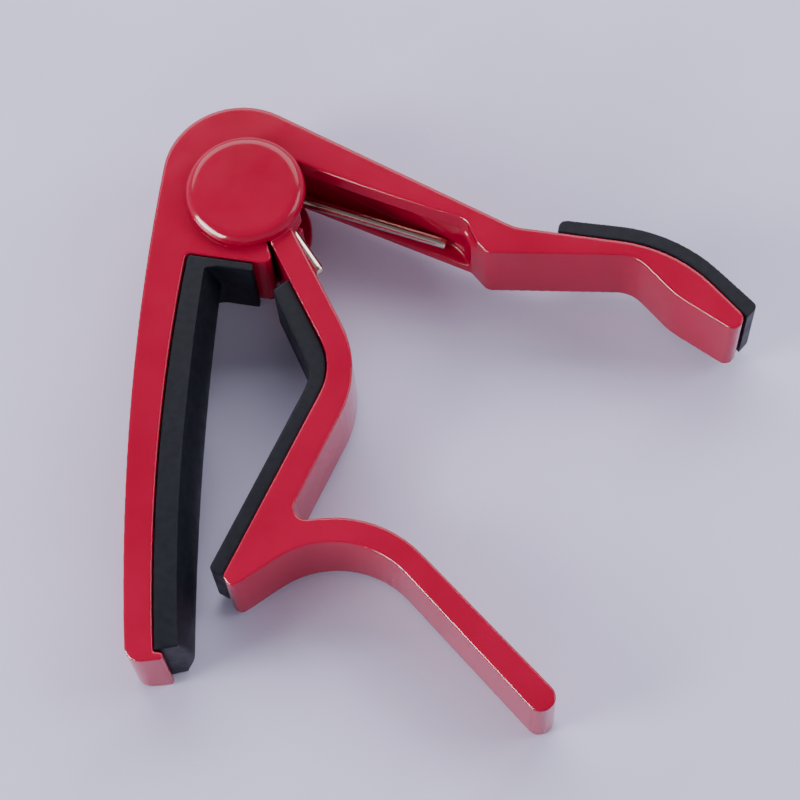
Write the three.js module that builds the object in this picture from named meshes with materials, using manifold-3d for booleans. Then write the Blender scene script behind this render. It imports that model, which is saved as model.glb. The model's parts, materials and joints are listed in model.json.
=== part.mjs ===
// Trigger capo for a guitar neck.
// Millimetres. The capo lies on the outer face of its back hub disc at Z = 0, and the hinge
// axis is Z. The string bar hangs towards -Y, and the fixed handle points towards +X.
// Outlines are drawn from the hinge axis, and each finished piece is moved so that the
// origin is under the middle of the whole part.
import * as THREE from 'three';
import { mergeVertices } from 'three/addons/utils/BufferGeometryUtils.js';
import Module from 'manifold-3d';

const wasm = await Module();
wasm.setup();

// ---- driving dimensions ----
const hinge = [-25.4, 34.2];     // hinge axis, from the middle of the part
const bodyDepth = 13.2;           // depth of both castings along the hinge axis
const discRadius = 9;            // hub discs, one on each side
const discHeight = 2.2;
const discEdge = 1.6;            // rounded rim of a hub disc
const discFoot = 0.5;            // smaller round where a hub disc meets the frame
const faceClearance = 0.1;       // running gap between a disc and the frame
const cheekThickness = 2;        // front and back walls of the hub, and the channel's back wall
const lipThickness = 3.5;        // front wall of the channel, cut back over the long leg
const lugRadius = 6.9;           // round end of the frame's cheeks
const coilCavity = 7.6;          // room for the coil inside the hub
const rootRadius = 7.4;          // hollow end of the trigger arm, around the lug
const wireRadius = 0.85;
const coilRadius = 6.2;          // to the middle of the wire
const pinRadius = 2.5;
const pinBore = 2.6;
const washerRadius = 6;
const washerThickness = 0.3;
const screwHeadRadius = 3.9;
const screwHeadHeight = 1;
const screwShankRadius = 1.3;
const screwShankLength = 7;
const hexRadius = 1.45;          // across the corners of the key's socket, halved
const hexDepth = 0.6;
const sleeveRadius = 4.7;
const sleeveClearance = 0.15;
const longLegGap = 0.25;         // from the channel's floor to the long leg
const shortLegGap = 1.3;         // from the hub's front wall to the short leg
const chordError = 0.02;         // how far an arc's facets may stay inside it
const boreSides = 32;
const discSides = 64;
const padGap = 0.1;              // glue line between a pad and its casting
const neckPadInset = 1;          // how far the neck pad stays in from the faces

const discFloor = discHeight + faceClearance;       // back face of the castings
const bodyTop = discFloor + bodyDepth;              // front face of the castings
const frontDiscBase = bodyTop + faceClearance;
const totalHeight = frontDiscBase + discHeight;
const channelFloor = discFloor + cheekThickness;
const channelRoof = bodyTop - cheekThickness;
const lipBase = bodyTop - lipThickness;
const longLegZ = channelFloor + wireRadius + longLegGap;
const shortLegZ = channelRoof - wireRadius - shortLegGap;

// ---- materials ----
const redPaint = new THREE.MeshStandardMaterial({ color: 0xb82740, roughness: 0.32, metalness: 0.1 });
const siliconeBlack = new THREE.MeshStandardMaterial({ color: 0x15181c, roughness: 0.6, metalness: 0 });
const springSteel = new THREE.MeshStandardMaterial({ color: 0xbdb6ad, roughness: 0.2, metalness: 1 });
const pinSteel = new THREE.MeshStandardMaterial({ color: 0x9fa2a6, roughness: 0.3, metalness: 1 });
const nylon = new THREE.MeshStandardMaterial({ color: 0xdedbd2, roughness: 0.5, metalness: 0 });

// ---- outlines ----
// A corner is [x, y, radius, bow]. The radius rounds the corner, and the bow is how far
// the edge that leaves it bulges to the right of its direction.
function edgePoint(from, to, share) {
  const dx = to[0] - from[0];
  const dy = to[1] - from[1];
  const bulge = 4 * (from[3] ?? 0) * share * (1 - share) / Math.hypot(dx, dy);
  return new THREE.Vector2(from[0] + dx * share + dy * bulge, from[1] + dy * share - dx * bulge);
}

function outline(corners) {
  const count = corners.length;
  const at = (index) => corners[(index + count) % count];
  const heading = (from, to, share) =>
    edgePoint(from, to, share + 0.001).sub(edgePoint(from, to, share - 0.001)).normalize();
  const trims = corners.map((corner, index) => {
    const before = heading(at(index - 1), corner, 1);
    const after = heading(corner, at(index + 1), 0);
    const turn = Math.acos(THREE.MathUtils.clamp(before.dot(after), -1, 1));
    return { turn, length: (corner[2] ?? 0) * Math.tan(turn / 2) };
  });
  const points = [];
  corners.forEach((corner, index) => {
    const [before, after] = [at(index - 1), at(index + 1)];
    const entry = 1 - trims[index].length / Math.hypot(corner[0] - before[0], corner[1] - before[1]);
    const exit = trims[index].length / Math.hypot(after[0] - corner[0], after[1] - corner[1]);
    if (trims[index].length === 0) {
      points.push(edgePoint(corner, after, 0));
    } else {
      const start = edgePoint(before, corner, entry);
      const end = edgePoint(corner, after, exit);
      const reach = corner[2] * Math.tan(trims[index].turn / 4) * 4 / 3;
      const arc = new THREE.CubicBezierCurve(
        start, start.clone().addScaledVector(heading(before, corner, entry), reach),
        end.clone().addScaledVector(heading(corner, after, exit), -reach), end);
      const facet = 2 * Math.acos(1 - Math.min(chordError / corner[2], 0.05));
      points.push(...arc.getPoints(Math.max(2, Math.ceil(trims[index].turn / facet))));
    }
    if (corner[3]) {
      const last = 1 - trims[(index + 1) % count].length
        / Math.hypot(after[0] - corner[0], after[1] - corner[1]);
      const bowSteps = 16;
      for (let step = 1; step < bowSteps; step += 1) {
        points.push(edgePoint(corner, after, THREE.MathUtils.lerp(exit, last, step / bowSteps)));
      }
    }
  });
  return new THREE.Shape(points);
}

// ---- solids ----
function slab(shape, low, high) {
  const geometry = new THREE.ExtrudeGeometry(shape, { depth: high - low, bevelEnabled: false });
  return geometry.translate(0, 0, low);
}

function turned(profile, segments = 48) {
  const points = profile.map(([radius, z]) => new THREE.Vector2(radius, z));
  return new THREE.LatheGeometry(points, segments).rotateX(Math.PI / 2);
}

const rod = (radius, low, high, segments) =>
  turned([[0, low], [radius, low], [radius, high], [0, high]], segments);

const ring = (inner, outer, low, high, segments) =>
  turned([[inner, low], [outer, low], [outer, high], [inner, high], [inner, low]], segments);

function solid(geometry) {
  const bare = geometry.clone();
  bare.deleteAttribute('normal');
  bare.deleteAttribute('uv');
  const merged = mergeVertices(bare, 1e-4);
  const triangles = merged.index.array;
  const corners = merged.attributes.position.array;
  const kept = [];
  for (let first = 0; first < triangles.length; first += 3) {
    const [a, b, c] = triangles.slice(first, first + 3);
    if (a !== b && b !== c && c !== a) kept.push(a, b, c);
  }
  return new wasm.Manifold(new wasm.Mesh({
    numProp: 3, vertProperties: new Float32Array(corners), triVerts: new Uint32Array(kept),
  }));
}

function geometryOf(manifold) {
  const mesh = manifold.getMesh();
  const geometry = new THREE.BufferGeometry();
  geometry.setAttribute('position', new THREE.BufferAttribute(new Float32Array(mesh.vertProperties), 3));
  geometry.setIndex(new THREE.BufferAttribute(new Uint32Array(mesh.triVerts), 1));
  geometry.computeVertexNormals();
  return geometry;
}

const capo = new THREE.Group();

function add(name, geometry, material) {
  const mesh = new THREE.Mesh(geometry.translate(...hinge, 0), material);
  mesh.name = name;
  capo.add(mesh);
}

// ---- main frame: string bar, hub and fixed handle in one casting ----
const frameOutline = [
  [-7.85, 22.25, 12],              // round top of the hub
  [39.3, -9.9, 7],                 // handle bends level
  [62.35, -16, 22],                // seat of the grip pad curves down
  [71, -28.1, 1.5],
  [69.2, -30.4, 1.4],              // end of the handle
  [61.35, -23.6, 9],
  [56.4, -16.6, 5],
  [34.75, -13.75, 1.6],            // step where the handle becomes solid
  [32.65, -10.6, 0.3],
];
const lugStart = THREE.MathUtils.degToRad(61);      // where the cheek's edge meets the round lug
const lugEnd = THREE.MathUtils.degToRad(-72);
const frameLower = [
  [2.35, -7.4, 0],                 // stop face for the trigger arm
  [3.35, -12.1, 1.1],              // nose of the ledge over the strings
  [-9.55, -8.7, 0.8, 1.7],
  [-17.6, -69.4, 0.3],             // lip under the end of the string pad
  [-16.2, -69.7, 0.3],
  [-16.3, -70.7, 0.5],
  [-21.6, -70.7, 2.3, -3.1],       // end of the string bar
];

function lugArc(steps = 14) {
  return Array.from({ length: steps + 1 }, (_, step) => {
    const angle = THREE.MathUtils.lerp(lugStart, lugEnd, step / steps);
    return [lugRadius * Math.cos(angle), lugRadius * Math.sin(angle)];
  });
}

const webLine = [[5.5, 10.4], [31.5, -7.15]];       // inner side of the channel's web
const channelCut = outline([
  [0, 0], [0, coilCavity], [...webLine[0], 2], [...webLine[1], 5], [32.65, -10.5], [31, -13], [9, -2],
]);
const frontLipCut = outline([
  [7.4, 4.8, 0, 0.3], [32.3, -7.9, 2.2], [33.5, -11.9], [31, -13], [9, -5], [7.3, 0.5], [6.2, 3.4],
]);

const frameSolid = solid(slab(outline([...frameOutline, ...lugArc(), ...frameLower]), discFloor, bodyTop))
  .subtract(solid(rod(coilCavity, channelFloor, channelRoof)))
  .subtract(solid(slab(channelCut, channelFloor, lipBase)))
  .subtract(solid(slab(frontLipCut, lipBase - 0.01, bodyTop + 1)))
  .subtract(solid(rod(pinBore, 0, totalHeight, boreSides)));
add('main_frame', geometryOf(frameSolid), redPaint);

// ---- trigger: arm, neck cradle and lever, cast with the two hub discs ----
const armOutline = [
  [2.05, -5.5],
  [2.75, -7.6],
  [10.85, -29.2, 9.5],             // bend of the neck cradle
  [-7.3, -59.5, 0.6],
  [-6.4, -61.55, 1.2],             // lower tip of the cradle
  [10.95, -51.8, 14],              // arch under the lever
  [34.35, -84, 1.9],
  [37.9, -81.8, 1.95],             // end of the lever
  [15.6, -52.35, 17],
  [1.95, -52.4, 1.9],              // crotch between the arm and the lever
  [15.25, -30.1, 16.5],
  [6.1, -5.5],
];
const rootSpan = [-69, -27].map(THREE.MathUtils.degToRad);

function rootBlock(steps = 8) {
  const arc = (radius, from, to) => Array.from({ length: steps + 1 }, (_, step) => {
    const angle = THREE.MathUtils.lerp(from, to, step / steps);
    return [radius * Math.cos(angle), radius * Math.sin(angle)];
  });
  const outer = discRadius - 0.1;
  return outline([...arc(rootRadius, rootSpan[1], rootSpan[0]), ...arc(outer, rootSpan[0], rootSpan[1])]);
}

function discProfile(faceZ, baseZ) {
  const outward = Math.sign(faceZ - baseZ);
  const rimSteps = 6;
  const round = (radius, z, side) => Array.from({ length: rimSteps + 1 }, (_, step) => {
    const angle = step / rimSteps * Math.PI / 2;
    return [discRadius - radius * (1 - Math.cos(angle)), z - side * radius * (1 - Math.sin(angle))];
  });
  const foot = round(discFoot, baseZ, -outward).reverse();
  const profile = [[0, baseZ], ...foot, ...round(discEdge, faceZ, outward), [0, faceZ]];
  return outward > 0 ? profile : profile.reverse();
}

const legLine = { foot: [2.81, 1.45], along: [0.4587, -0.8886] };    // short leg of the spring, in plan
const onLeg = (distance, z) => new THREE.Vector3(
  legLine.foot[0] + legLine.along[0] * distance, legLine.foot[1] + legLine.along[1] * distance, z);

// Slot through the root that the short leg lies in. It is set off to the side that the leg
// swings away from, so that the lever pushes on the leg with the slot's other wall.
const slotHeight = 2 * wireRadius + 0.6;
const slotWidth = 3.9;
const slotLength = 11;
const slotMiddle = 9.5;          // along the leg, from its foot
const slotShift = new THREE.Vector3(0.7, 0.36, 0);
const legSlot = new THREE.BoxGeometry(slotLength, slotWidth, slotHeight)
  .rotateZ(Math.atan2(legLine.along[1], legLine.along[0]))
  .translate(...onLeg(slotMiddle, shortLegZ).add(slotShift).toArray());

const washerRecess = washerThickness + 0.1;
const screwSeat = screwHeadHeight + 0.2;            // bottom of the screw head's recess
const pinSocket = 1.2;                              // how far the pin goes into the front disc
const triggerSolid = solid(slab(outline(armOutline), discFloor, bodyTop))
  .subtract(solid(rod(rootRadius, 0, totalHeight, discSides)))
  .add(solid(slab(rootBlock(), discHeight - 0.1, frontDiscBase + 0.1)))
  .add(solid(turned(discProfile(0, discHeight), discSides)))
  .add(solid(turned(discProfile(totalHeight, frontDiscBase), discSides)))
  .subtract(solid(rod(washerRadius + 0.2, discHeight - washerRecess, discHeight + 0.05)))
  .subtract(solid(rod(washerRadius + 0.2, frontDiscBase - 0.05, frontDiscBase + washerRecess)))
  .subtract(solid(rod(pinBore, screwSeat, frontDiscBase + pinSocket, boreSides)))
  .subtract(solid(rod(screwHeadRadius + 0.3, -1, screwSeat, boreSides)))
  .subtract(solid(legSlot));
add('trigger_arm', geometryOf(triggerSolid), redPaint);

// ---- hinge pin, screw, washers and sleeve ----
const pinBase = screwSeat + 0.1;
const pinEnd = frontDiscBase + pinSocket - 0.2;
const pinChamfer = 0.3;
const threadRadius = screwShankRadius + 0.1;
const threadEnd = screwSeat + screwShankLength + 1;
add('pivot_pin', turned([
  [threadRadius, pinBase], [pinRadius, pinBase], [pinRadius, pinEnd - pinChamfer],
  [pinRadius - pinChamfer, pinEnd], [0, pinEnd], [0, threadEnd],
  [threadRadius, threadEnd], [threadRadius, pinBase],
], boreSides), pinSteel);

const headTop = screwSeat - 0.05;
const headFace = headTop - screwHeadHeight;
const headChamfer = 0.4;
const hexKey = new THREE.CylinderGeometry(hexRadius, hexRadius, 2 * hexDepth, 6)
  .rotateX(Math.PI / 2).translate(0, 0, headFace);
const screwSolid = solid(turned([
  [0, headFace], [screwHeadRadius - headChamfer, headFace],
  [screwHeadRadius, headFace + headChamfer], [screwHeadRadius, headTop],
  [screwShankRadius, headTop], [screwShankRadius, headTop + screwShankLength],
  [0, headTop + screwShankLength],
], boreSides)).subtract(solid(hexKey));
add('pivot_screw', geometryOf(screwSolid), pinSteel);

const washerGap = 0.02;          // between a washer and the frame
const washers = {
  back_washer: discFloor - washerGap - washerThickness,
  front_washer: bodyTop + washerGap,
};
Object.entries(washers).forEach(([name, low]) => {
  add(name, ring(pinBore, washerRadius, low, low + washerThickness, 40), nylon);
});
const sleeveLow = channelFloor + sleeveClearance;
const sleeveHigh = channelRoof - sleeveClearance;
add('spring_sleeve', ring(pinBore, sleeveRadius, sleeveLow, sleeveHigh, boreSides), nylon);

// ---- torsion spring ----
const coilStart = THREE.MathUtils.degToRad(65);     // where the long leg leaves the coil
const coilEnd = THREE.MathUtils.degToRad(-40 + 3 * 360);
const longLegEnd = [29.3, -6.75];

function springPath() {
  const points = [
    new THREE.Vector3(...longLegEnd, longLegZ),
    new THREE.Vector3(20, -2.43, longLegZ),
    new THREE.Vector3(10.5, 2, longLegZ),
  ];
  const coilSteps = 52;
  for (let step = 0; step <= coilSteps; step += 1) {
    const share = step / coilSteps;
    const angle = THREE.MathUtils.lerp(coilStart, coilEnd, share);
    points.push(new THREE.Vector3(
      coilRadius * Math.cos(angle), coilRadius * Math.sin(angle),
      THREE.MathUtils.lerp(longLegZ, shortLegZ, share)));
  }
  points.push(new THREE.Vector3(5.75, -4.05, shortLegZ));
  [8.3, 11, 15.4].forEach((distance) => points.push(onLeg(distance, shortLegZ)));
  return new THREE.CatmullRomCurve3(points, false, 'centripetal');
}

const wireSection = new THREE.Shape(Array.from({ length: 8 }, (_, side) => {
  const angle = side / 8 * 2 * Math.PI;
  return new THREE.Vector2(wireRadius * Math.cos(angle), wireRadius * Math.sin(angle));
}));
add('torsion_spring', new THREE.ExtrudeGeometry(wireSection, {
  steps: 110, bevelEnabled: false, extrudePath: springPath(),
}), springSteel);

// ---- silicone pads ----
add('string_pad', slab(outline([
  [-9.3, -8.9 - padGap, 0.5],
  [0.25, -11.45 - padGap, 0.3],
  [0.05, -12.85, 0.3],             // strip under the ledge
  [-5.2, -11.4, 0.4, 0.8],
  [-12.5, -68.8, 0.5],
  [-17.45, -69.3, 0.3, -1.7],
]), discFloor + 0.2, bodyTop - 0.2), siliconeBlack);

add('neck_pad', slab(outline([
  [5.35 - padGap, -14.3],
  [10.75 - padGap, -29.2, 9.5],
  [-7.2 - padGap, -59.2],
  [-9.25, -57.9, 0.5],
  [7.6, -29.8, 6],
  [2.8, -15.8, 0.4],
]), discFloor + neckPadInset, bodyTop - neckPadInset), siliconeBlack);

add('handle_grip_pad', slab(outline([
  [45.5, -11.55 + padGap],
  [46, -9.4, 1.2],
  [62.95, -13.4, 24],
  [73, -26.5, 0.8],
  [71.05 + padGap, -28.2],
  [62.4 + padGap, -15.95 + padGap, 22],
]), discFloor + 0.2, bodyTop - 0.2), siliconeBlack);

export default capo;
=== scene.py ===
import json
import math

import bmesh
import bpy
import numpy as np
from mathutils import Matrix, Vector


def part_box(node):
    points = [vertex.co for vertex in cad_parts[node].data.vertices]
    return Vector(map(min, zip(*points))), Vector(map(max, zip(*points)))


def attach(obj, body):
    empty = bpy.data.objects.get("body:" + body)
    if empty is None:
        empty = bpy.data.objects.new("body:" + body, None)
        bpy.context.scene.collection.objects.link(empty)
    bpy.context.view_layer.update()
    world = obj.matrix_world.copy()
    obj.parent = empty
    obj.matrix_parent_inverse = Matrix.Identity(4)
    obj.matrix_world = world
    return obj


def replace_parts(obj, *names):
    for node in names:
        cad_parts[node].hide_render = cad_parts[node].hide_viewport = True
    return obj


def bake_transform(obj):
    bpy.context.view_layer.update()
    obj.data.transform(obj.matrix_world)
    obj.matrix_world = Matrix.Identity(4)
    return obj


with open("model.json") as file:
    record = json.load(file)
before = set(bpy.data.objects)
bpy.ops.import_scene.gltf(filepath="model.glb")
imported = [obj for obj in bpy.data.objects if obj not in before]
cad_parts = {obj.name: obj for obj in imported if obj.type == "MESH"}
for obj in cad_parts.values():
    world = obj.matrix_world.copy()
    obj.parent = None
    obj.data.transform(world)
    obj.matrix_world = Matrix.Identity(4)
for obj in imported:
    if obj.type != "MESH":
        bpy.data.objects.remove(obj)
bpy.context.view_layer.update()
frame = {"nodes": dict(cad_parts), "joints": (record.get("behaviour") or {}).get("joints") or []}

MM = 0.001
HINGE = Vector(frame["joints"][0]["pos_m"]).to_2d()
HINGE_HEIGHT = frame["joints"][0]["pos_m"][2]
BODY_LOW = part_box("main_frame")[0].z


def at_hinge(x, y, z=0.0):
    """A point given in millimetres from the hinge axis, in the row frame."""
    return Vector((HINGE.x + x * MM, HINGE.y + y * MM, z * MM))


# ---------------------------------------------------------------- node materials

def new_material(name):
    material = bpy.data.materials.new(name)
    material.use_nodes = True
    tree = material.node_tree
    return material, tree, tree.nodes["Principled BSDF"]


def add_node(tree, kind, **settings):
    node = tree.nodes.new(kind)
    for key, value in settings.items():
        if key in node.inputs:
            node.inputs[key].default_value = value
        else:
            setattr(node, key, value)
    return node


def noise(tree, scale, detail=4.0, stretch=(1, 1, 1), space="Object"):
    """Noise over the object's own coordinates, with scale in features per metre."""
    place = add_node(tree, "ShaderNodeTexCoord")
    mapping = add_node(tree, "ShaderNodeMapping", Scale=stretch)
    texture = add_node(tree, "ShaderNodeTexNoise", Scale=scale, Detail=detail)
    tree.links.new(place.outputs[space], mapping.inputs["Vector"])
    tree.links.new(mapping.outputs["Vector"], texture.inputs["Vector"])
    return texture.outputs["Fac"]


def spread(tree, value, low, high, start=0.3, end=0.7):
    """Maps a noise value onto a range of numbers."""
    node = add_node(tree, "ShaderNodeMapRange")
    node.inputs["From Min"].default_value = start
    node.inputs["From Max"].default_value = end
    node.inputs["To Min"].default_value = low
    node.inputs["To Max"].default_value = high
    tree.links.new(value, node.inputs["Value"])
    return node.outputs["Result"]


def tint(tree, value, stops):
    """Colour ramp with (position, colour) stops."""
    ramp = add_node(tree, "ShaderNodeValToRGB")
    elements = ramp.color_ramp.elements
    while len(elements) < len(stops):
        elements.new(0.5)
    for element, (position, colour) in zip(elements, stops):
        element.position = position
        element.color = (*colour, 1.0)
    tree.links.new(value, ramp.inputs["Fac"])
    return ramp.outputs["Color"]


def bump(tree, heights, distance):
    """Chains bumps, each a (height, strength), into one normal."""
    normal = None
    for height, strength in heights:
        node = add_node(tree, "ShaderNodeBump", Strength=strength, Distance=distance)
        tree.links.new(height, node.inputs["Height"])
        if normal is not None:
            tree.links.new(normal, node.inputs["Normal"])
        normal = node.outputs["Normal"]
    return normal


def paint_material():
    """Gloss enamel on a die casting: a faint orange peel and a clear coat."""
    material, tree, shader = new_material("red_enamel")
    shader.inputs["Roughness"].default_value = 0.5
    shader.inputs["Specular IOR Level"].default_value = 0.0
    shader.inputs["Coat Weight"].default_value = 1.0
    shader.inputs["Coat IOR"].default_value = 1.38
    blotch = noise(tree, 90.0, 3.0)
    colour = tint(tree, blotch, [(0.3, (0.34, 0.002, 0.028)), (0.7, (0.39, 0.003, 0.036))])
    tree.links.new(colour, shader.inputs["Base Color"])
    gloss = spread(tree, noise(tree, 260.0, 5.0), 0.09, 0.15)
    tree.links.new(gloss, shader.inputs["Coat Roughness"])
    peel = bump(tree, [(noise(tree, 700.0, 2.0), 0.10), (noise(tree, 5200.0, 3.0), 0.05)], 0.05 * MM)
    tree.links.new(peel, shader.inputs["Coat Normal"])
    tree.links.new(peel, shader.inputs["Normal"])
    return material


def silicone_material():
    """Moulded black silicone with a fine matt grain and a little dust in it."""
    material, tree, shader = new_material("black_silicone")
    shader.inputs["Specular IOR Level"].default_value = 0.22
    dust = noise(tree, 900.0, 6.0)
    colour = tint(tree, dust, [(0.35, (0.004, 0.005, 0.010)), (0.75, (0.009, 0.010, 0.017))])
    tree.links.new(colour, shader.inputs["Base Color"])
    tree.links.new(spread(tree, noise(tree, 400.0, 4.0), 0.42, 0.56), shader.inputs["Roughness"])
    grain = bump(tree, [(noise(tree, 2600.0, 4.0), 0.25), (noise(tree, 9000.0, 2.0), 0.2)], 0.04 * MM)
    tree.links.new(grain, shader.inputs["Normal"])
    return material


def wire_material():
    """Drawn and plated spring wire, with die lines along it."""
    material, tree, shader = new_material("plated_wire")
    shader.inputs["Metallic"].default_value = 1.0
    lines = noise(tree, 14.0, 5.0, stretch=(30.0, 0.6, 1.0), space="UV")
    colour = tint(tree, lines, [(0.3, (0.60, 0.52, 0.45)), (0.7, (0.86, 0.79, 0.71))])
    tree.links.new(colour, shader.inputs["Base Color"])
    tree.links.new(spread(tree, lines, 0.14, 0.28), shader.inputs["Roughness"])
    tree.links.new(bump(tree, [(lines, 0.12)], 0.02 * MM), shader.inputs["Normal"])
    return material


def turned_material(name, dark, light, roughness, metallic):
    """Turned metal or plastic, with faint rings round the hinge axis."""
    material, tree, shader = new_material(name)
    shader.inputs["Metallic"].default_value = metallic
    place = add_node(tree, "ShaderNodeTexCoord")
    centre = add_node(tree, "ShaderNodeMapping", Location=(-HINGE.x, -HINGE.y, 0.0))
    rings = add_node(tree, "ShaderNodeTexWave", wave_type="RINGS", rings_direction="Z",
                     Scale=900.0, Distortion=1.5, Detail=2.0)
    tree.links.new(place.outputs["Object"], centre.inputs["Vector"])
    tree.links.new(centre.outputs["Vector"], rings.inputs["Vector"])
    stain = noise(tree, 500.0, 4.0)
    tree.links.new(tint(tree, stain, [(0.3, dark), (0.7, light)]), shader.inputs["Base Color"])
    tree.links.new(spread(tree, stain, roughness, roughness + 0.12), shader.inputs["Roughness"])
    rows = bump(tree, [(rings.outputs["Fac"], 0.2)], 0.02 * MM)
    tree.links.new(rows, shader.inputs["Normal"])
    return material


def floor_material():
    """Pale lavender-grey card with a faint mottle."""
    material, tree, shader = new_material("pale_card")
    colour = tint(tree, noise(tree, 30.0, 8.0), [(0.3, (0.63, 0.615, 0.87)), (0.7, (0.69, 0.675, 0.93))])
    tree.links.new(colour, shader.inputs["Base Color"])
    shader.inputs["Roughness"].default_value = 0.85
    tree.links.new(bump(tree, [(noise(tree, 1500.0, 6.0), 0.15)], 0.1 * MM), shader.inputs["Normal"])
    return material


# ---------------------------------------------------------------- mesh helpers

def new_piece(name, mesh, material):
    piece = bpy.data.objects.new(name, mesh)
    bpy.context.scene.collection.objects.link(piece)
    mesh.materials.clear()
    mesh.materials.append(material)
    mesh.shade_smooth()
    return piece


def apply_modifiers(piece):
    graph = bpy.context.evaluated_depsgraph_get()
    old = piece.data
    piece.data = bpy.data.meshes.new_from_object(piece.evaluated_get(graph))
    piece.modifiers.clear()
    bpy.data.meshes.remove(old)
    piece.data.shade_smooth()


def coordinates(mesh):
    flat = np.empty(len(mesh.vertices) * 3, np.float32)
    mesh.vertices.foreach_get("co", flat)
    return flat.reshape(-1, 3).astype(float)


def set_coordinates(mesh, points):
    mesh.vertices.foreach_set("co", points.astype(np.float32).ravel())
    mesh.update()


def soften(piece, passes):
    """Rounds edges: each pass moves every vertex halfway to the middle of its neighbours."""
    smooth = piece.modifiers.new("soft_edges", "SMOOTH")
    smooth.factor = 0.5
    smooth.iterations = passes


def moulded(name, node, material, voxel, passes):
    """A copy of a CAD node with the soft edges of a casting or moulding."""
    piece = new_piece(name, frame["nodes"][node].data.copy(), material)
    remesh = piece.modifiers.new("voxels", "REMESH")
    remesh.mode = "VOXEL"
    remesh.voxel_size = voxel
    soften(piece, passes)
    apply_modifiers(piece)
    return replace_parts(piece, node)


# ---------------------------------------------------------------- castings

CASTING_VOXEL = 0.2 * MM
CASTING_PASSES = 6


def make_castings(paint):
    castings = []
    for name, node, body in (("frame_casting", "main_frame", "frame"),
                             ("trigger_casting", "trigger_arm", "trigger")):
        castings.append(moulded(name, node, paint, CASTING_VOXEL, CASTING_PASSES))
        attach(castings[-1], body)
    return castings


# ---------------------------------------------------------------- silicone pads

PAD_VOXEL = 0.15 * MM
PAD_PASSES = 5
BAR_TOP = at_hinge(-9.55, -8.7).to_2d()         # ends of the bar's inner edge, under the pad
BAR_FOOT = at_hinge(-17.6, -69.4).to_2d()
BAR_BOW = 1.7 * MM                              # how far that edge bulges in its middle
BAND_TOP = 3.1 * MM                             # flat part of the pad's faces, up to its crown
BAND_LOW = 3.5 * MM
BAND_TAPER = 0.35                               # share of the length over which it widens
STRIP_EDGE = at_hinge(-5.2, -11.4).to_2d()      # lower edge of the strip under the ledge
STRIP_ALONG = (at_hinge(0.05, -12.85).to_2d() - STRIP_EDGE).normalized()
STRIP_FADE = 0.2 * MM                           # the crown begins over this distance below it
CROWN_POWER = 1.7                               # how late the crown falls towards the faces


def crown_string_pad(mesh):
    """Turns the block's outer side into a crown, full at mid depth and gone at the faces."""
    points = coordinates(mesh)
    along = BAR_FOOT - BAR_TOP
    length = along.length
    along /= length
    outward = Vector((-along.y, along.x))
    reach = points[:, :2] - np.array(BAR_TOP)
    share = np.clip(reach @ np.array(along) / length, 0, 1)
    height = reach @ np.array(outward) + 4 * BAR_BOW * share * (1 - share)
    half = (points[:, 2].max() - points[:, 2].min()) / 2
    level = np.clip(np.abs(points[:, 2] - HINGE_HEIGHT) / half, 0, 1)
    strip_down = Vector((STRIP_ALONG.y, -STRIP_ALONG.x))
    drop = (points[:, :2] - np.array(STRIP_EDGE)) @ np.array(strip_down)
    below_strip = np.clip(drop / STRIP_FADE, 0, 1)
    band = BAND_TOP + (BAND_LOW - BAND_TOP) * np.clip(share / BAND_TAPER, 0, 1)
    over = np.clip(height - band, 0, None) * level ** CROWN_POWER * below_strip
    points[:, 0] -= over * outward.x
    points[:, 1] -= over * outward.y
    set_coordinates(mesh, points)


def make_pads(silicone):
    string = moulded("string_pad_silicone", "string_pad", silicone, PAD_VOXEL, 0)
    crown_string_pad(string.data)
    soften(string, PAD_PASSES)
    apply_modifiers(string)
    neck = moulded("neck_pad_silicone", "neck_pad", silicone, PAD_VOXEL, PAD_PASSES)
    grip = moulded("grip_pad_silicone", "handle_grip_pad", silicone, PAD_VOXEL, PAD_PASSES)
    for pad, body in ((string, "frame"), (neck, "trigger"), (grip, "frame")):
        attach(pad, body)


# ---------------------------------------------------------------- torsion spring

# Plan points are in millimetres from the hinge axis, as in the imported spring.
WIRE_RADIUS = 0.85 * MM
WIRE_SIDES = 24
END_CHAMFER = 0.22 * MM
COIL_RADIUS = 6.2
COIL_STEPS = 52
COIL_START = math.radians(65)
COIL_END = math.radians(-40 + 3 * 360)
LONG_LEG = ((29.3, -6.75), (20, -2.43), (10.5, 2))      # from its end to the coil
SHORT_LEG_START = (5.75, -4.05)
SHORT_LEG_FOOT = np.array((2.81, 1.45))
SHORT_LEG_ALONG = np.array((0.4587, -0.8886))
SHORT_LEG_STEPS = (8.3, 11, 15.4)                       # along the leg, from its foot


def spring_route(low, high):
    """Points of the wire's middle line: long leg, coil, short leg."""
    points = [(*place, low) for place in LONG_LEG]
    for step in range(COIL_STEPS + 1):
        share = step / COIL_STEPS
        angle = COIL_START + (COIL_END - COIL_START) * share
        points.append((COIL_RADIUS * math.cos(angle), COIL_RADIUS * math.sin(angle),
                       low + (high - low) * share))
    points.append((*SHORT_LEG_START, high))
    for distance in SHORT_LEG_STEPS:
        points.append((*(SHORT_LEG_FOOT + SHORT_LEG_ALONG * distance), high))
    return np.array(points)


def on_line(a, b, start, end, knot):
    """The point at a knot on the line that passes a at its start and b at its end."""
    return a * (end - knot) / (end - start) + b * (knot - start) / (end - start)


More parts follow.
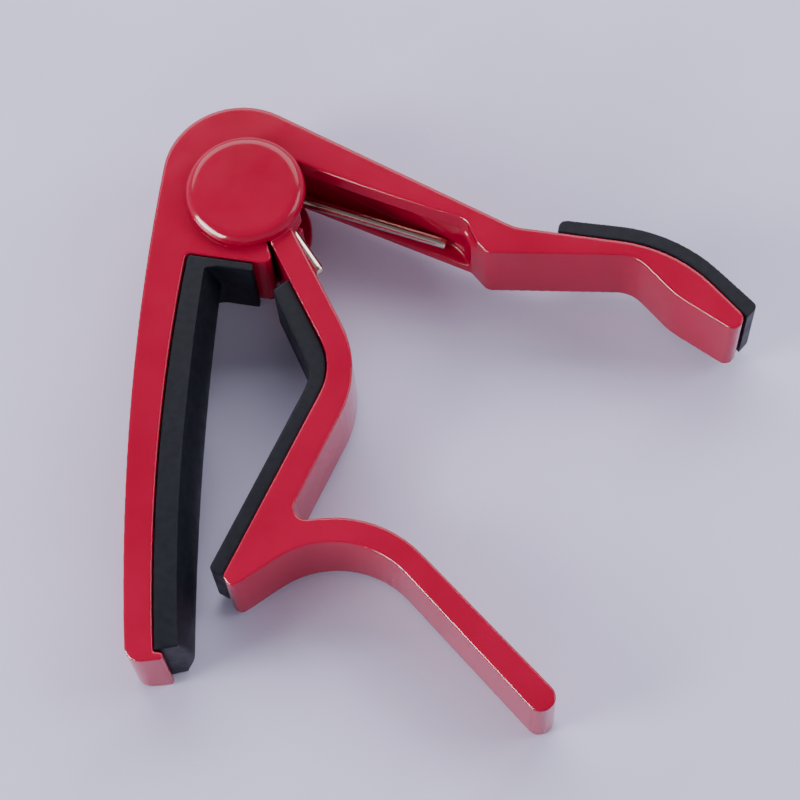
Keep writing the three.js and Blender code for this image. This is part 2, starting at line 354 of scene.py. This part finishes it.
def smooth_route(points, pieces=6):
    """Centripetal Catmull-Rom curve through the points."""
    padded = np.vstack([2 * points[0] - points[1], points, 2 * points[-1] - points[-2]])
    route = []
    for p0, p1, p2, p3 in zip(padded, padded[1:], padded[2:], padded[3:]):
        gaps = [np.linalg.norm(b - a) ** 0.5 for a, b in ((p0, p1), (p1, p2), (p2, p3))]
        k0, k1, k2, k3 = np.cumsum([0] + gaps)
        for knot in np.linspace(k1, k2, pieces, endpoint=False):
            a1 = on_line(p0, p1, k0, k1, knot)
            a2 = on_line(p1, p2, k1, k2, knot)
            a3 = on_line(p2, p3, k2, k3, knot)
            b1 = on_line(a1, a2, k0, k2, knot)
            b2 = on_line(a2, a3, k1, k3, knot)
            route.append(on_line(b1, b2, k1, k2, knot))
    route.append(points[-1])
    return np.array(route)


def wire_stations(route, radius):
    """Middle, direction, radius and distance along the wire at each ring, with chamfered ends."""
    ways = np.gradient(route, axis=0)
    ways /= np.linalg.norm(ways, axis=1)[:, None]
    lengths = np.concatenate([[0], np.cumsum(np.linalg.norm(np.diff(route, axis=0), axis=1))])
    tip = radius - END_CHAMFER
    first, last = ways[0] * END_CHAMFER, ways[-1] * END_CHAMFER
    stations = [(route[0], ways[0], tip, 0.0), (route[0] + first, ways[0], radius, END_CHAMFER)]
    stations += list(zip(route[1:-1], ways[1:-1], [radius] * (len(route) - 2), lengths[1:-1]))
    stations.append((route[-1] - last, ways[-1], radius, lengths[-1] - END_CHAMFER))
    stations.append((route[-1], ways[-1], tip, lengths[-1]))
    return stations


def swept_wire(route, radius, sides):
    """Round wire along a route, with UVs that run along it."""
    mesh = bmesh.new()
    uv = mesh.loops.layers.uv.new("along")
    stations = wire_stations(route, radius)
    side = np.array((0.0, 0.0, 1.0))
    rings = []
    for middle, way, size, _ in stations:
        side = side - way * (side @ way)
        side /= np.linalg.norm(side)
        across = np.cross(way, side)
        ring = []
        for index in range(sides):
            angle = 2 * math.pi * index / sides
            outward = side * math.cos(angle) + across * math.sin(angle)
            ring.append(mesh.verts.new(middle + size * outward))
        rings.append(ring)
    for row, (near, far) in enumerate(zip(rings, rings[1:])):
        for index in range(sides):
            other = (index + 1) % sides
            face = mesh.faces.new((near[index], near[other], far[other], far[index]))
            marks = ((index, row), (index + 1, row), (index + 1, row + 1), (index, row + 1))
            for loop, (turn, station) in zip(face.loops, marks):
                loop[uv].uv = (turn / sides, stations[station][3] / MM)
    mesh.faces.new(rings[0][::-1])
    mesh.faces.new(rings[-1])
    bmesh.ops.recalc_face_normals(mesh, faces=mesh.faces)
    data = bpy.data.meshes.new("wire")
    mesh.to_mesh(data)
    mesh.free()
    return data


def make_spring(steel):
    low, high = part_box("torsion_spring")
    low_middle = low.z / MM + WIRE_RADIUS / MM
    high_middle = high.z / MM - WIRE_RADIUS / MM
    route = smooth_route(spring_route(low_middle, high_middle)) * MM
    route[:, 0] += HINGE.x
    route[:, 1] += HINGE.y
    wire = swept_wire(route, WIRE_RADIUS, WIRE_SIDES)
    spring = new_piece("spring_wire", wire, steel)
    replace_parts(spring, "torsion_spring")
    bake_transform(spring)


# ---------------------------------------------------------------- hinge hardware

def make_hardware():
    steel = turned_material("turned_steel", (0.42, 0.42, 0.44), (0.56, 0.56, 0.58), 0.28, 1.0)
    nylon = turned_material("turned_nylon", (0.60, 0.58, 0.52), (0.72, 0.70, 0.64), 0.45, 0.0)
    for node, material in (("pivot_pin", steel), ("pivot_screw", steel), ("back_washer", nylon),
                           ("front_washer", nylon), ("spring_sleeve", nylon)):
        mesh = frame["nodes"][node].data
        mesh.materials.clear()
        mesh.materials.append(material)


# ---------------------------------------------------------------- floor, camera and lights

REST_RIM = 8.0 * MM              # radius at which the back disc's rounded rim meets the floor
REST_ENDS = ((37.0, -83.5), (-20.5, -70.9))     # ends of the lever and the bar, from the hinge
SLOPE_ROUNDS = 20
FLOOR_SIZE = 3.0


def floor_slope():
    """Rise of the floor in x and y, from the disc's rim to the low faces of both far ends."""
    ends = Matrix([(x * MM, y * MM) for x, y in REST_ENDS])
    slope = Vector((0.0, 0.0))
    for _ in range(SLOPE_ROUNDS):
        lift = BODY_LOW + REST_RIM * slope.length
        slope = ends.inverted() @ Vector((lift, lift))
    return slope


def make_floor():
    """The capo lies on its back disc's rim and on two far ends, so the floor tilts under it."""
    slope = floor_slope()
    corners = []
    for x, y in ((-1, -1), (1, -1), (1, 1), (-1, 1)):
        away = Vector((x, y)) * FLOOR_SIZE / 2
        height = slope @ away - REST_RIM * slope.length
        corners.append((HINGE.x + away.x, HINGE.y + away.y, height))
    mesh = bpy.data.meshes.new("floor")
    mesh.from_pydata(corners, [], [(0, 1, 2, 3)])
    floor = bpy.data.objects.new("floor", mesh)
    bpy.context.scene.collection.objects.link(floor)
    mesh.materials.append(floor_material())


LENS = 103.5                     # millimetres, on a 36 mm sensor
CAMERA_PLACE = at_hinge(19.855, -162.294, 320.677)
CAMERA_RIGHT = Vector((0.99503, -0.09201, -0.03815)).normalized()
CAMERA_UP = Vector((0.09961, 0.91914, 0.38114)).normalized()


def make_camera():
    data = bpy.data.cameras.new("camera")
    data.sensor_width = 36.0
    data.lens = LENS
    data.clip_start = 0.01
    data.clip_end = 10.0
    camera = bpy.data.objects.new("camera", data)
    bpy.context.scene.collection.objects.link(camera)
    turn = Matrix((CAMERA_RIGHT, CAMERA_UP, CAMERA_RIGHT.cross(CAMERA_UP))).transposed()
    camera.matrix_world = Matrix.Translation(CAMERA_PLACE) @ turn.to_4x4()
    bpy.context.scene.camera = camera


def add_light(name, place, size, power, colour, target=(0.0, 0.0, 0.0)):
    """Rectangular lamp, in metres and watts, turned towards its target."""
    data = bpy.data.lights.new(name, "AREA")
    data.shape = "RECTANGLE"
    data.size, data.size_y = size
    data.energy = power
    data.color = colour
    lamp = bpy.data.objects.new(name, data)
    bpy.context.scene.collection.objects.link(lamp)
    lamp.location = place
    lamp.rotation_euler = (Vector(target) - Vector(place)).to_track_quat("-Z", "Y").to_euler()
    return lamp


def light_only(lamp, pieces):
    """Lets a light fall on these pieces alone."""
    receivers = bpy.data.collections.new(f"{lamp.name}_receivers")
    for piece in pieces:
        receivers.objects.link(piece)
    lamp.light_linking.receiver_collection = receivers


def make_world():
    """Pale studio, brighter near the horizon than overhead."""
    world = bpy.data.worlds.new("studio")
    bpy.context.scene.world = world
    world.use_nodes = True
    tree = world.node_tree
    sky = tree.nodes["Background"]
    sky.inputs["Color"].default_value = (0.92, 0.92, 1.0, 1.0)
    direction = add_node(tree, "ShaderNodeTexCoord")
    height = add_node(tree, "ShaderNodeSeparateXYZ")
    tree.links.new(direction.outputs["Generated"], height.inputs["Vector"])
    tree.links.new(spread(tree, height.outputs["Z"], 0.60, 0.15, 0.3, 0.8), sky.inputs["Strength"])


def make_lights(castings):
    """A window on the left with its low glint on the paint, a panel behind and two weak fills."""
    add_light("window", (-0.80, -0.20, 0.40), size=(0.32, 0.55), power=7.0, colour=(1.0, 0.98, 0.96))
    glint = add_light("low_window", (-0.80, -0.34, 0.28), size=(0.80, 0.45), power=60.0,
                      colour=(1.0, 0.95, 0.92))
    glint.visible_diffuse = False
    light_only(glint, castings)
    add_light("back_panel", (0.05, 0.95, 0.78), size=(1.6, 0.75), power=18.0,
              colour=(1.0, 0.98, 1.0), target=(0.0, 0.3, 0.0))
    add_light("right_fill", (0.80, 0.10, 0.55), size=(0.5, 0.5), power=4.0, colour=(0.97, 0.97, 1.0))
    front = add_light("front_fill", (0.10, -0.80, 0.50), size=(0.6, 0.5), power=2.0,
                      colour=(1.0, 0.97, 0.98))
    front.visible_glossy = False


make_camera()
castings = make_castings(paint_material())
make_pads(silicone_material())
make_spring(wire_material())
make_hardware()
make_floor()
make_world()
make_lights(castings)
